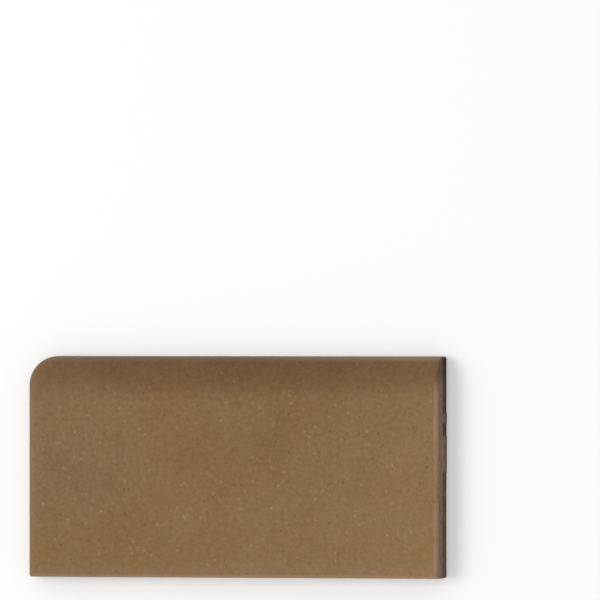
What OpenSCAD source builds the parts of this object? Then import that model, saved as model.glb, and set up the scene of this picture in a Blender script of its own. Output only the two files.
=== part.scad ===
// Skirting tile: one pressed ceramic piece that lies on its back with its face up.
// The top edge and the left end are rounded for an exposed run; the right end and the
// floor edge are square, so that the next tile and the floor meet them.
// +X runs along the skirting to the square end, +Y up the wall to the round top edge,
// +Z out of the face. The origin is under the middle of the back.

/* [Tile] */
// Length along the wall, from the rounded end to the square end
tile_l = 150; // [120:1:240]
// Height up the wall, from the floor edge to the round top edge
tile_h = 75; // [66:1:150]
// Thickness from the back to the face
tile_t = 10; // [9:0.5:14]

/* [Rounded edges] */
// Radius of the round between the face and the top edge or the left end
nose_r = 7.5; // [3:0.5:8]
// Radius of the rounded top left corner, seen from the front
corner_r = 10; // [8:0.5:20]

/* [Square edges] */
// Width of the small bevel along the square edges of the face
arris_w = 0.8; // [0.2:0.1:1.5]
// Thickness of the lip behind the face, in front of the set-in edge
lip_t = 5.5; // [3:0.5:6]
// How far the edge behind the lip is set in
set_in = 0.15; // [0.1:0.05:1.5]
// Width of the large spacer lug on the square end
wide_lug_w = 12; // [6:1:20]
// Height of the large spacer lug above the floor edge
wide_lug_up = 42; // [34:1:46]
// Width of the small spacer lug on the square end
small_lug_w = 3; // [2:0.5:6]
// Height of the small spacer lug above the floor edge
small_lug_up = 54; // [50:1:58]

/* [Back] */
// Number of key grooves in the back, an even number so that a rib runs along the middle
groove_count = 6; // [2:2:6]
// Distance from one key groove to the next
groove_pitch = 11; // [8:0.5:11]
// Width of a key groove
groove_w = 5; // [2:0.5:6]
// Depth of a key groove
groove_d = 1; // [0.5:0.1:1.5]
// Distance that the key grooves stop short of each end
groove_margin = 12; // [10:1:30]

/* [Hidden] */
$fn = 96;
clear = 1;  // how far a cutter stands outside what it cuts
left = -tile_l / 2;
right = tile_l / 2;
floor_edge = -tile_h / 2;
top_edge = tile_h / 2;
corner_x = left + corner_r;
corner_y = top_edge - corner_r;
nose_z = tile_t - nose_r;

// The tile seen from the front, with its one rounded corner.
module face_outline() {
    translate([left, floor_edge]) square([tile_l, tile_h - corner_r]);
    translate([corner_x, floor_edge]) square([tile_l - corner_r, tile_h]);
    translate([corner_x, corner_y]) circle(r = corner_r);
}

// What a round of nose_r takes off an edge: the corner at (0, nose_r) of a section whose
// x runs outwards from the start of the round and whose y runs up from it.
module nose_waste() {
    difference() {
        square(nose_r + clear);
        circle(r = nose_r);
    }
}

// Takes the round off the top edge, from the rounded corner to the square end.
module top_nose_cut() {
    translate([corner_x, top_edge - nose_r, nose_z])
        rotate([90, 0, 90])
            linear_extrude(tile_l - corner_r + clear) nose_waste();
}

// Takes the round off the left end, from the floor edge to the rounded corner.
module end_nose_cut() {
    translate([left + nose_r, floor_edge - clear, nose_z])
        mirror([1, 0, 0])
            mirror([0, 1, 0])
                rotate([90, 0, 0])
                    linear_extrude(tile_h - corner_r + clear) nose_waste();
}

// Carries the round about the rounded corner.
module corner_nose_cut() {
    translate([corner_x, corner_y, nose_z])
        rotate([0, 0, 90])
            rotate_extrude(angle = 90)
                translate([corner_r - nose_r, 0]) nose_waste();
}

// A square bar turned on edge, which bevels an arris that runs along it.
module arris_bar(length) {
    side = arris_w * sqrt(2);
    rotate([0, 45, 0])
        translate([-side / 2, -clear, -side / 2])
            cube([side, length + 2 * clear, side]);
}

// Bevels the face along the square end and along the floor edge.
module arris_cuts() {
    translate([right, floor_edge, tile_t]) arris_bar(tile_h);
    translate([right, floor_edge, tile_t]) rotate([0, 0, 90]) arris_bar(tile_l);
}

// The set-in back half of the square end, without its two spacer lugs.
module end_set_in() {
    difference() {
        translate([right - set_in, floor_edge - clear, -clear])
            cube([set_in + clear, tile_h + 2 * clear, tile_t - lip_t + clear]);
        for (lug = [[wide_lug_up, wide_lug_w], [small_lug_up, small_lug_w]])
            translate([right - 2 * set_in, floor_edge + lug[0] - lug[1] / 2, -2 * clear])
                cube([2 * set_in, lug[1], tile_t]);
    }
}

// The set-in back half of the floor edge.
module floor_edge_set_in() {
    translate([left - clear, floor_edge - clear, -clear])
        cube([tile_l + 2 * clear, set_in + clear, tile_t - lip_t + clear]);
}

// One key groove with round ends.
module key_groove() {
    run = tile_l - 2 * groove_margin - groove_w;
    translate([-run / 2, -groove_w / 2, -clear]) cube([run, groove_w, groove_d + clear]);
    for (end = [-1, 1])
        translate([end * run / 2, 0, -clear]) cylinder(h = groove_d + clear, d = groove_w);
}

// The key grooves of the back, with a rib left along the middle.
module key_grooves() {
    for (i = [0 : groove_count - 1])
        translate([0, (i - (groove_count - 1) / 2) * groove_pitch, 0]) key_groove();
}

// The whole tile.
module skirting_tile() {
    color("#87694a")
        difference() {
            linear_extrude(tile_t) face_outline();
            top_nose_cut();
            end_nose_cut();
            corner_nose_cut();
            arris_cuts();
            end_set_in();
            floor_edge_set_in();
            key_grooves();
        }
}

skirting_tile();
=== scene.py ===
"""Skirting tile: one piece of unglazed speckled stoneware, lying on its back with its face up."""

import math
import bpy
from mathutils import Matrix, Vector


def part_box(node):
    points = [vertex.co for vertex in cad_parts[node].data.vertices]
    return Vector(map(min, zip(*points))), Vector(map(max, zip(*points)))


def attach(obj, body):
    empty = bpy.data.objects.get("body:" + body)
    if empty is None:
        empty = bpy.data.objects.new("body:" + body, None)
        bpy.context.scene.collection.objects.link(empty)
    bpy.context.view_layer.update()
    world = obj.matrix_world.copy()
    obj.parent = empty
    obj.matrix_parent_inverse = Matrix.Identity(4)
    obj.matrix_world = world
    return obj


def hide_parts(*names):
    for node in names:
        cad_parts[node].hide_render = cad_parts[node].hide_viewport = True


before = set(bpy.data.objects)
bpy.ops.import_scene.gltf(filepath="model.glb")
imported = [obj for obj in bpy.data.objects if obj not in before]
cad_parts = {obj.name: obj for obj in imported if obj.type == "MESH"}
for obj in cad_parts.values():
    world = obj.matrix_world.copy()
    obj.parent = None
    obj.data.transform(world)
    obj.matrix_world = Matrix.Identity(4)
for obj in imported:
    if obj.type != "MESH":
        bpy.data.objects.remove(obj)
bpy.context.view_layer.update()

from types import SimpleNamespace

import bmesh
import bpy
from mathutils import Vector

LOW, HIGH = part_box("skirting_tile")
MM = 0.001
TOUCH = 0.01 * MM                       # two places closer than this are the same place

# The tile's own sizes, as in the construction.
NOSE_R = 7.5 * MM                       # round along the top edge and the left end
CORNER_R = 10 * MM                      # rounded corner, seen from the front
ARRIS_R = 0.8 * MM                      # soft edge round the square end and the floor edge
LIP_T = 5.5 * MM                        # lip behind the face, in front of the set-in edge
SET_IN = 0.15 * MM                      # how far the edge behind the lip is set in
STEP_SLOPE = 0.2 * MM                   # the step behind the lip leans a little
LUGS = ((42 * MM, 12 * MM), (54 * MM, 3 * MM))  # height above the floor edge, width
LUG_SLOPE = 0.4 * MM                    # the sides of the lugs lean a little
GROOVES, GROOVE_PITCH = 6, 11 * MM
GROOVE_W, GROOVE_DEPTH, GROOVE_MARGIN = 5 * MM, 1 * MM, 12 * MM
EASED = 0.15 * MM                       # every other sharp edge, but for the step
GRID = 1.5 * MM                         # spacing of the cuts that let the surface undulate
WARP, WARP_SIZE = 0.08 * MM, 6 * MM     # depth and spread of the undulation
SHARP = math.radians(40)                # an edge that turns by more than this is sharp
SQUARE = math.radians(50)               # an edge that turns by more than this is square
STRAIGHT = 0.9                          # a face whose normal has this much of an axis faces along it


# ---------------------------------------------------------------- modelling by hand, in code

def start_cube(name, low, high):
    """Adds a cube at its size and place, and opens it in edit mode."""
    bpy.ops.object.select_all(action="DESELECT")
    bpy.ops.mesh.primitive_cube_add(size=1, location=(low + high) / 2, scale=high - low)
    bpy.ops.object.transform_apply(location=True, rotation=True, scale=True)
    piece = bpy.context.object
    piece.name = piece.data.name = name
    bpy.ops.object.mode_set(mode="EDIT")
    bpy.ops.mesh.select_mode(type="EDGE")
    return piece


def pick(piece, kind, test):
    """Selects just the verts, edges or faces that pass the test. The piece is in edit mode."""
    bpy.ops.mesh.select_mode(type=kind.upper())
    bpy.ops.mesh.select_all(action="DESELECT")
    shell = bmesh.from_edit_mesh(piece.data)
    items = {"vert": shell.verts, "edge": shell.edges, "face": shell.faces}[kind]
    for item in items:
        if test(item):
            item.select_set(True)
    shell.select_flush_mode()
    bmesh.update_edit_mesh(piece.data)


def ends(edge):
    """The places of the two ends of an edge."""
    return edge.verts[0].co, edge.verts[1].co


def lies_at(edge, axis, place):
    """True where both ends of an edge are at one place along an axis."""
    return all(abs(end[axis] - place) < TOUCH for end in ends(edge))


def cut(axis, place):
    """Cuts the selected faces along a plane square to an axis."""
    where, facing = Vector((0, 0, 0)), Vector((0, 0, 0))
    where[axis], facing[axis] = place, 1
    bpy.ops.mesh.bisect(plane_co=where, plane_no=facing)


def cut_all(piece, axis, places, test=lambda face: True):
    """Cuts the faces that pass the test at each of the places."""
    for place in places:
        pick(piece, "face", test)
        cut(axis, place)


def soften(offset, segments):
    """Rounds the selected edges."""
    bpy.ops.mesh.bevel(offset=offset, segments=segments, affect="EDGES", clamp_overlap=False)


def apply_modifier(piece, kind, **settings):
    """Adds a modifier, sets it and applies it."""
    added = piece.modifiers.new(kind.lower(), kind)
    for key, value in settings.items():
        setattr(added, key, value)
    bpy.ops.object.modifier_apply(modifier=added.name)


# ---------------------------------------------------------------- the tile

X, Y, Z = 0, 1, 2


def round_the_nose(piece):
    """Rounds the top left corner, then carries one round along the top edge and the left end."""
    pick(piece, "edge", lambda e: lies_at(e, X, LOW.x) and lies_at(e, Y, HIGH.y))
    soften(CORNER_R, segments=20)
    pick(piece, "edge", lambda e: lies_at(e, Z, HIGH.z)
         and not lies_at(e, X, HIGH.x) and not lies_at(e, Y, LOW.y))
    soften(NOSE_R, segments=18)


def soften_arrises(piece):
    """Softens the front of the square end and of the floor edge, and the corner between them."""
    def sharp_front(edge):
        if len(edge.link_faces) < 2 or edge.calc_face_angle() < SQUARE:
            return False
        on_end = lies_at(edge, X, HIGH.x) or lies_at(edge, Y, LOW.y)
        return on_end and max(end.z for end in ends(edge)) > LOW.z + TOUCH

    pick(piece, "edge", sharp_front)
    soften(ARRIS_R, segments=4)


def set_in_square_edges(piece):
    """Sets in the back of the square end, but not its lugs, and the back of the floor edge."""
    step = HIGH.z - LIP_T
    cut_all(piece, Z, (step, step - STEP_SLOPE))
    spans = [(LOW.y + up - w / 2, LOW.y + up + w / 2) for up, w in LUGS]
    for low, high in spans:
        sides = (low - LUG_SLOPE, low, high, high + LUG_SLOPE)
        cut_all(piece, Y, sides, lambda f: f.normal.x > STRAIGHT)

    def behind_lip(point):
        return point.co.z < step - TOUCH

    def on_lug(point):
        return any(low - TOUCH < point.co.y < high + TOUCH for low, high in spans)

    end, foot = HIGH.x - ARRIS_R - TOUCH, LOW.y + ARRIS_R + TOUCH
    pick(piece, "vert", lambda v: behind_lip(v) and v.co.x > end and not on_lug(v))
    bpy.ops.transform.translate(value=(-SET_IN, 0, 0))
    pick(piece, "vert", lambda v: behind_lip(v) and v.co.y < foot)
    bpy.ops.transform.translate(value=(0, SET_IN, 0))


def press_key_grooves(piece):
    """Presses the key grooves into the back, and rounds their ends."""
    middles = [(i - (GROOVES - 1) / 2) * GROOVE_PITCH for i in range(GROOVES)]
    sides = [y + side * GROOVE_W / 2 for y in middles for side in (-1, 1)]
    stop = HIGH.x - GROOVE_MARGIN

    def is_back(face):
        return face.normal.z < -STRAIGHT and face.calc_center_median().z < LOW.z + TOUCH

    def in_groove(face):
        spot = face.calc_center_median()
        return is_back(face) and abs(spot.x) < stop and any(abs(spot.y - y) < TOUCH for y in middles)

    cut_all(piece, X, (-stop, stop), is_back)
    cut_all(piece, Y, sides, is_back)
    pick(piece, "face", in_groove)
    bpy.ops.mesh.extrude_region_move(TRANSFORM_OT_translate={"value": (0, 0, GROOVE_DEPTH)})
    pick(piece, "edge", lambda e: abs(abs(e.verts[0].co.x) - stop) < TOUCH
         and abs(e.verts[0].co.z - e.verts[1].co.z) > GROOVE_DEPTH / 2
         and max(end.z for end in ends(e)) < LOW.z + GROOVE_DEPTH + TOUCH)
    soften(GROOVE_W / 2 - TOUCH, segments=8)
    bpy.ops.mesh.select_all(action="SELECT")
    bpy.ops.mesh.remove_doubles(threshold=3 * TOUCH)


def ease_edges(piece):
    """Takes the sharpness off every edge that is still sharp, but for the small step."""
    step = HIGH.z - LIP_T

    def on_step(edge):
        return all(step - STEP_SLOPE - TOUCH < end.z < step + TOUCH for end in ends(edge))

    pick(piece, "edge", lambda e: e.calc_face_angle() > SHARP and not on_step(e))
    soften(EASED, segments=3)


def lay_grid(piece):
    """Cuts the tile into a fine grid, so that its surfaces can undulate."""
    for axis in (X, Y):
        count = round((HIGH[axis] - LOW[axis]) / GRID)
        step = (HIGH[axis] - LOW[axis]) / count
        cut_all(piece, axis, [LOW[axis] + step * (i + 0.5) for i in range(count)])
    cut_all(piece, Z, [LOW.z + share * (HIGH.z - LIP_T - LOW.z) for share in (0.25, 0.5, 0.75)])


def roughen(piece):
    """Gives the fired surfaces a faint undulation, always inwards."""
    clouds = bpy.data.textures.new("kiln_warp", "CLOUDS")
    clouds.noise_scale = WARP_SIZE
    clouds.noise_depth = 3
    apply_modifier(piece, "DISPLACE", texture=clouds, texture_coords="LOCAL", mid_level=1.0,
                   strength=WARP)


def make_tile():
    piece = start_cube("stoneware_tile", LOW, HIGH)
    round_the_nose(piece)
    soften_arrises(piece)
    set_in_square_edges(piece)
    press_key_grooves(piece)
    ease_edges(piece)
    lay_grid(piece)
    bpy.ops.object.mode_set(mode="OBJECT")
    roughen(piece)
    bpy.ops.object.shade_smooth_by_angle(angle=SHARP)
    return piece


# ---------------------------------------------------------------- shader sums

class Shade:
    """A shader socket that takes part in Python sums, by adding Math nodes."""

    def __init__(self, maker, socket):
        self.maker, self.socket = maker, socket

    def math(self, operation, *values):
        return self.maker.node("ShaderNodeMath", {"operation": operation}, dict(enumerate(values)))

    def __add__(self, other):
        return self.math("ADD", self, other)

    def __sub__(self, other):
        return self.math("SUBTRACT", self, other)

    def __rsub__(self, other):
        return self.math("SUBTRACT", other, self)

    def __mul__(self, other):
        return self.math("MULTIPLY", self, other)

    def __neg__(self):
        return self.math("MULTIPLY", self, -1)

    def size(self):
        return self.math("ABSOLUTE", self)

    def most(self, other):
        return self.math("MAXIMUM", self, other)

    __radd__ = __add__


class Material:
    """Builds the nodes of one material, or of the world."""

    def __init__(self, name, kind="materials", output="ShaderNodeOutputMaterial"):
        self.made = getattr(bpy.data, kind).new(name)
        self.output = output
        self.made.use_nodes = True
        self.tree = self.made.node_tree
        self.tree.nodes.clear()

    def node(self, kind, settings=None, inputs=None, output=0):
        """Adds a node: its settings first, then the value or link of each socket."""
        made = self.tree.nodes.new(kind)
        for key, value in (settings or {}).items():
            setattr(made, key, value)
        for key, value in (inputs or {}).items():
            if isinstance(value, Shade):
                self.tree.links.new(value.socket, made.inputs[key])
            else:
                made.inputs[key].default_value = value
        return Shade(self, made.outputs[output]) if made.outputs else None

    def ramp(self, value, low, high):
        """0 below low, 1 above high, and a smooth rise between them. high may be the lower one."""
        return self.node("ShaderNodeMapRange", {"interpolation_type": "SMOOTHSTEP"},
                         {"Value": value, "From Min": low, "From Max": high})

    def mix(self, share, first, second):
        """Blends two colours."""
        return self.node("ShaderNodeMix", {"data_type": "RGBA"},
                         {"Factor": share, 6: first, 7: second}, output=2)

    def vector(self, operation, inputs):
        """One sum on vectors or colours."""
        return self.node("ShaderNodeVectorMath", {"operation": operation}, inputs)

    def split(self, vector):
        """The three parts of a vector."""
        return [self.node("ShaderNodeSeparateXYZ", None, {0: vector}, output=i) for i in range(3)]

    def noise(self, place, size, detail=3.0, roughness=0.5):
        """Soft noise about 0.5, with lumps of a size in mm."""
        return self.node("ShaderNodeTexNoise", None, {
            "Vector": place, "Scale": 1 / size, "Detail": detail, "Roughness": roughness})

    def finish(self, surface):
        self.node(self.output, None, {"Surface": surface})
        return self.made


def paint(red, green, blue):
    return (red, green, blue, 1.0)


WHITE = paint(1, 1, 1)


# ---------------------------------------------------------------- stoneware

# Colours of the clay, of what lies on it, and of painted shade and highlights.
FACE_WARM = paint(0.234, 0.1285, 0.0465)
FACE_OLIVE = paint(0.2153, 0.1316, 0.0564)
# painted shade for the top of the face
PAINTED_SHADE_BROWN = paint(0.128, 0.057, 0.024)
BISCUIT = paint(0.215, 0.129, 0.091)
PALE_GRAIN = paint(0.42, 0.29, 0.16)
DARK_GRAIN = paint(0.105, 0.053, 0.021)
# pale clay of worn edges, also a painted highlight
WORN_EDGE_AND_HIGHLIGHT = paint(0.37, 0.235, 0.165)
# dust, and painted sheen on the round of the left end
DUST_AND_SHEEN = paint(0.30, 0.23, 0.17)
# dust and painted highlight on the top edge's shoulder
LEDGE_DUST_AND_HIGHLIGHT = paint(0.30, 0.225, 0.13)

# Edges and levels of the tile in mm, as the shader sees them.
FOOT, TOP, END = LOW.y / MM, HIGH.y / MM, HIGH.x / MM
FACE, STEP = HIGH.z / MM, (HIGH.z - LIP_T) / MM

BUMP_DEPTH = 0.15 * MM                  # how deep the grain of the clay is


def spot_on_tile(mat):
    """Where a point of the surface lies, in mm, which way it faces and which parts it is on."""
    place = mat.node("ShaderNodeTexCoord", output=3)
    place = mat.vector("SCALE", {0: place, "Scale": 1 / MM})
    x, y, z = mat.split(place)
    return SimpleNamespace(
        place=place, x=x, y=y, z=z, facing=mat.split(mat.node("ShaderNodeTexCoord", output=1)),
        on_end=mat.ramp(x, END - 0.6, END - 0.35), on_foot=mat.ramp(y, FOOT + 0.6, FOOT + 0.35),
        upper=mat.ramp(y, -12, 4))


def grains(mat, place, spacing, radius, share):
    """1 on scattered grains of a radius in mm: a share of the cells holds one each."""
    cell = {"Vector": place, "Scale": 1 / spacing, "Randomness": 1.0}
    reach = mat.node("ShaderNodeTexVoronoi", None, cell) * spacing
    lot = mat.node("ShaderNodeTexVoronoi", None, cell, output=1)
    lot = mat.node("ShaderNodeSeparateColor", None, {"Color": lot})
    return mat.ramp(reach, radius, radius * 0.3) * mat.ramp(lot, 1 - share, 1 - share + 0.1)


def speckle(mat, at):
    """Pale grains and dark grains in the clay, in looser and denser clouds."""
    shake = mat.node("ShaderNodeTexNoise", None, {"Vector": at.place, "Scale": 1.6}, output=1)
    uneven = mat.vector("ADD", {0: at.place, 1: mat.vector("SCALE", {0: shake, "Scale": 0.7})})
    crowd = mat.ramp(mat.noise(at.place, size=5, detail=2), 0.38, 0.62) * 0.7 + 0.3
    pale = grains(mat, uneven, spacing=2.3, radius=0.75, share=0.45) * crowd * 0.34
    pale = pale + grains(mat, uneven, spacing=5.1, radius=0.80, share=0.35) * 0.28
    dark = grains(mat, uneven, spacing=2.5, radius=0.75, share=0.45) * crowd * 0.5
    dark = dark + grains(mat, uneven, spacing=3.7, radius=0.65, share=0.35) * 0.45
    return pale, dark


def raw_clay(mat, at):
    """1 on the pressed edges and the back, which took none of the face's firing colour."""
    outwards = mat.ramp(at.facing[0].most(-at.facing[1]), 0.55, 0.68)
    raw = outwards * mat.ramp(at.facing[2], 0.37, 0.1)
    raw = raw.most(mat.ramp(-at.facing[2], 0.3, 0.6))
    raw = raw.most(at.on_end * mat.ramp(at.z, STEP + 0.4, STEP))
    inside = mat.ramp(at.x.size(), END - 1, END - 2) * mat.ramp(at.y.size(), TOP - 1, TOP - 2)
    in_groove = inside * mat.ramp(at.z, 2.4, 1.4)
    return raw.most(in_groove)


def on_lugs(mat, at):
    """1 on the lugs of the square end."""
    lugs = [mat.ramp((at.y - (FOOT + up / MM)).size(), w / MM / 2 + 0.7, w / MM / 2 - 0.5)
            for up, w in LUGS]
    return lugs[0].most(lugs[1])


def clay_tone_and_painted_shade(mat, at):
    """How light the raw clay is, with painted shade: darkest where it is set in, at its back edge and
    towards the top of the end, with a painted highlight along the lip's back edge.
    """
    behind = mat.ramp(at.z, STEP + 0.1, STEP - 0.5)
    high = mat.ramp(at.y, -6, 14)
    # painted shade in the set-in recess, deeper higher up
    set_in = (at.on_end * (1 - on_lugs(mat, at))).most(at.on_foot) * behind
    blotch = mat.ramp(mat.noise(at.place, size=2.6, detail=2), 0.46, 0.62) * behind
    # painted shadow along the back edge of the square end
    rim = mat.ramp(at.z, 1.8, 0.5) * high
    # painted highlight along the lip's back edge, at the step
    painted_lip_highlight = mat.ramp(at.z, STEP + 1.0, STEP + 0.5) * (1 - behind) * mat.ramp(at.y, -26, -8)
    # painted shade towards the top of the square end
    near_top = mat.ramp(at.y, TOP - 11, TOP - 5)
    end = (0.87 - near_top * 0.38) * (1 - rim * 0.7) * (1 - blotch * 0.22) * (1 + painted_lip_highlight * 0.3)
    return (1 - set_in * (0.36 + high * 0.12)) * (1 - at.on_end * (1 - end))


def tone_drift_and_painted_light(mat, at):
    """Painted light that grows lighter low down and to the right; also lighter by the square end and
    darker above the middle.
    """
    low = mat.ramp(at.y, 20, -20)
    above_middle = mat.ramp((at.x - 12).size(), 55, 0) * mat.ramp(at.y, -20, 10)
    by_end = mat.ramp(at.x, END - 50, END) * 0.06
    by_end = by_end + mat.ramp(at.x, END - 19, END - 5) * at.upper * 0.035
    # painted light: lighter towards the right and low down
    drift = at.x * 0.0004 - at.y * 0.0006 + at.x * low * 0.0007
    return drift + by_end - above_middle * 0.072


def wear_and_highlight(mat, at, colour, slow, grain):
    """Lightens the square edges of the face to the pale clay: wear, and a painted highlight along them.
    """
    patchy = mat.ramp(slow + grain * 0.4, 0.4, 0.7)
    end = mat.ramp(at.x, END - 1.5, END - 0.4) * mat.ramp(at.z, FACE - 2.2, FACE - 1.0)
    end = end * mat.ramp(at.y, TOP - 6, TOP - 14) * mat.ramp(at.y, FOOT, FOOT + 4) * patchy
    foot = mat.ramp(at.y, FOOT + 1.3, FOOT + 0.6) * mat.ramp(at.z, FACE - 2, FACE - 0.8)
    return mat.mix((end * 0.75).most(foot * 0.5), colour, WORN_EDGE_AND_HIGHLIGHT)


def dust_and_sheen(mat, at, colour, grain):
    """Lays painted highlight and dust on the shoulder of the top edge, painted sheen on the round of
    the left end, and dust along the foot.
    """
    # painted highlight, partly dust, on the shoulder of the top edge
    ledge = mat.ramp(at.facing[1], 0.68, 0.95) * (mat.ramp(at.x, 0, END - 5) * 0.47 + 0.17)
    ledge = ledge * (mat.ramp(at.z, 2.5, 5) * 0.7 + 0.3) * (grain * 0.6 + 0.7)
    colour = mat.mix(ledge, colour, LEDGE_DUST_AND_HIGHLIGHT)
    hem = mat.ramp(at.y, FOOT + 7, FOOT + 1) * mat.ramp(at.z, FACE - 2, FACE - 1) * 0.12
    # painted sheen on the round of the left end
    left = mat.ramp(-at.facing[0], 0.1, 0.9) * 0.12
    return mat.mix(hem.most(left), colour, DUST_AND_SHEEN)


def fired_face(mat, at, slow):
    """The face's own colour: warm brown, olive high on the left and towards the square end."""
    upper_left = mat.ramp(at.x, -20, -50) * mat.ramp(at.y, -22, -6)
    olive = mat.ramp(slow + upper_left * 0.3, 0.43, 0.78) * (upper_left * 0.25 + 0.75)
    olive = olive + mat.ramp(at.x, at.upper * 50 - 30, END - 15) * 0.4
    olive = olive + mat.ramp(at.x, END - 11, END - 4) * at.upper * 0.35
    return mat.mix(olive, FACE_WARM, FACE_OLIVE)


def painted_top_shade(mat, at):
    """How much painted shade darkens the top of the face and its round, less at its two ends."""
    dark = mat.ramp(at.y, TOP - 17, TOP - 6) * (mat.ramp(at.x, -END + 3, -END + 34) * 0.3 + 0.3)
    return dark * (1 - mat.ramp(at.x, END - 20, END - 4) * 0.1)


def stoneware():
    mat = Material("speckled_stoneware")
    at = spot_on_tile(mat)
    slow = mat.noise(at.place, size=13)
    mottle = mat.noise(at.place, size=1.7, roughness=0.7)
    grain = mat.noise(at.place, size=0.45, roughness=0.6)
    pale, dark = speckle(mat, at)
    raw = raw_clay(mat, at)

    colour = mat.mix(raw, fired_face(mat, at, slow), BISCUIT)
    colour = mat.mix(pale, colour, PALE_GRAIN)
    colour = mat.mix(dark, colour, DARK_GRAIN)
    # painted shade along the top of the face and its round
    colour = mat.mix(painted_top_shade(mat, at) * (1 - raw), colour, PAINTED_SHADE_BROWN)

    tone = 1 + (mottle - 0.5) * (0.7 + raw * 0.45) + (grain - 0.5) * 0.6 + (slow - 0.5) * 0.3
    # painted light drifting over the tile, and painted shade and highlight on the raw clay
    tone = (tone + tone_drift_and_painted_light(mat, at)) * (1 - raw * (1 - clay_tone_and_painted_shade(mat, at)))
    colour = mat.vector("SCALE", {0: colour, "Scale": tone})
    # wear and a painted highlight along the square edges of the face
    colour = wear_and_highlight(mat, at, colour, slow, grain)
    # dust, painted highlight and painted sheen
    colour = dust_and_sheen(mat, at, colour, grain)

    rough = 0.62 + raw * 0.25 + (grain - 0.5) * 0.3
    height = grain * 0.6 + mottle * 0.6 + pale - dark * 0.4
    bump = mat.node("ShaderNodeBump", None, {"Strength": 0.8, "Distance": BUMP_DEPTH, "Height": height})
    return mat.finish(mat.node("ShaderNodeBsdfPrincipled", None, {
        "Base Color": colour, "Roughness": rough, "Normal": bump, "Specular IOR Level": 0.18}))


# ---------------------------------------------------------------- studio

VIEW_TURN = math.radians(20.8)          # the camera stands this far round towards the square end
VIEW_DISTANCE = 6.5                     # far off, so that the tile is seen almost without perspective
VIEW_WIDTH = 1.351                      # width of the picture, in tile lengths
AIM = Vector((0.0257, 0.0565, HIGH.z))  # the tile lies low and to the left in the picture
FLOOR_SIZE = 12
FLOOR_PALE = 0.8                        # the floor's grey, for the light that it sends on
FLOOR_GLOW = 0.25                       # how much of the floor's white no shadow can take


def add_camera():
    camera = bpy.data.cameras.new("camera")
    camera.sensor_width = 36
    camera.lens = camera.sensor_width * VIEW_DISTANCE / (VIEW_WIDTH * (HIGH.x - LOW.x))
    stand = bpy.data.objects.new("camera", camera)
    back = Vector((math.sin(VIEW_TURN), 0, math.cos(VIEW_TURN)))
    stand.location = AIM + back * VIEW_DISTANCE
    stand.rotation_euler = (0, VIEW_TURN, 0)
    bpy.context.collection.objects.link(stand)
    bpy.context.scene.camera = stand


def looked_at(mat):
    """1 for the camera, a mirror or glass, and 0 for the light that bounces."""
    rays = [mat.node("ShaderNodeLightPath", output=name)
            for name in ("Is Camera Ray", "Is Glossy Ray", "Is Transmission Ray")]
    return rays[0].most(rays[1]).most(rays[2])


def white_if_looked_at(mat, plain):
    """White to look at, and a plain level for the light that bounces."""
    return mat.mix(looked_at(mat), paint(plain, plain, plain), WHITE)


def add_floor():
    bpy.ops.object.select_all(action="DESELECT")
    bpy.ops.mesh.primitive_plane_add(size=FLOOR_SIZE)
    floor = bpy.context.object
    floor.name = "floor"
    mat = Material("pale_floor")
    matt = mat.node("ShaderNodeBsdfDiffuse", None, {"Color": white_if_looked_at(mat, FLOOR_PALE)})
    glow = mat.node("ShaderNodeEmission", None, {"Color": WHITE, "Strength": 1.0})
    floor.data.materials.append(mat.finish(mat.node("ShaderNodeMixShader", None, {
        0: looked_at(mat) * FLOOR_GLOW, 1: matt, 2: glow})))


def add_softbox(name, towards, distance, size, power):
    """Adds a square soft lamp in a direction from the tile, facing the tile."""
    lamp = bpy.data.lights.new(name, "AREA")
    lamp.size = size
    lamp.energy = power
    stand = bpy.data.objects.new(name, lamp)
    towards = Vector(towards).normalized()
    stand.location = towards * distance
    stand.rotation_euler = towards.to_track_quat("Z", "Y").to_euler()
    bpy.context.collection.objects.link(stand)


def add_world(level):
    """An even pale surround, white where the camera sees it."""
    surround = Material("studio", "worlds", "ShaderNodeOutputWorld")
    bpy.context.scene.world = surround.finish(surround.node("ShaderNodeBackground", None, {
        "Color": white_if_looked_at(surround, level)}))


add_camera()
add_floor()
add_softbox("key_softbox", towards=(-0.50, 0.04, 0.86), distance=2.0, size=0.9, power=14)
add_world(level=0.70)
bpy.context.scene.view_settings.view_transform = "Standard"

tile = make_tile()
tile.data.materials.append(stoneware())
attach(tile, "root")
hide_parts("skirting_tile")
